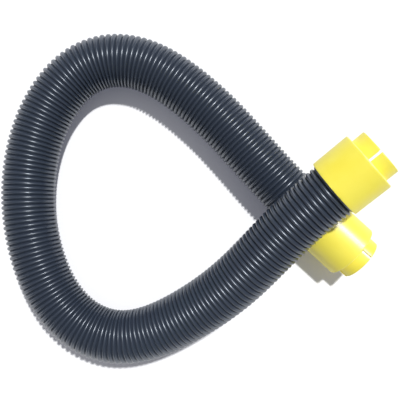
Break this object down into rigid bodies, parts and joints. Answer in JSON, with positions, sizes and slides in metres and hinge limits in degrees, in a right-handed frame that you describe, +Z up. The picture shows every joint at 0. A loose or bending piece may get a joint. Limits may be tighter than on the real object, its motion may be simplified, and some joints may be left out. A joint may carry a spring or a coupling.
{
  "type": "pool vacuum hose",
  "caption": "Ribbed plastic vacuum hose lying in a loop that crosses over itself, with a swivel cuff on each end whose stepped, slotted nose plugs into a fitting.",
  "frame": {"origin": "on the plane that the hose lies on, under the middle of the box round the swivel cuffs and the ferrules in them, close to where the hose crosses over itself", "axes": "+Z up; the loop lies on the -X side of the origin, and both cuffs point to +X, the upper one to +Y and the lower one to -Y"},
  "size_m": [0.3571, 0.3134, 0.1222],
  "materials": {
    "hose_wall": "extruded flexible plastic, glossy, near-black blue grey",
    "cuff": "moulded plastic, satin gloss, lemon yellow",
    "ferrule": "moulded plastic, matt, dark grey",
    "seal": "soft black rubber",
    "ring": "natural nylon, matt, off white"
  },
  "bodies": {
    "hose": {"hose": "hose_wall", "lower_ferrule": "ferrule", "lower_sealing_washer": "seal", "upper_ferrule": "ferrule", "upper_sealing_washer": "seal"},
    "lower_cuff": {"lower_swivel_cuff": "cuff", "lower_retaining_ring": "ring"},
    "upper_cuff": {"upper_swivel_cuff": "cuff", "upper_retaining_ring": "ring"}
  },
  "joints": [
    {"name": "lower_cuff_swivel", "type": "hinge", "parent": "hose", "child": "lower_cuff", "pos_m": [-0.0025, -0.021, 0.0275], "axis": [0.7403, -0.6723, 0], "continuous": true},
    {"name": "upper_cuff_swivel", "type": "hinge", "parent": "hose", "child": "upper_cuff", "pos_m": [-0.0075, 0.022, 0.088], "axis": [0.7258, 0.6328, 0.2699], "continuous": true}
  ]
}
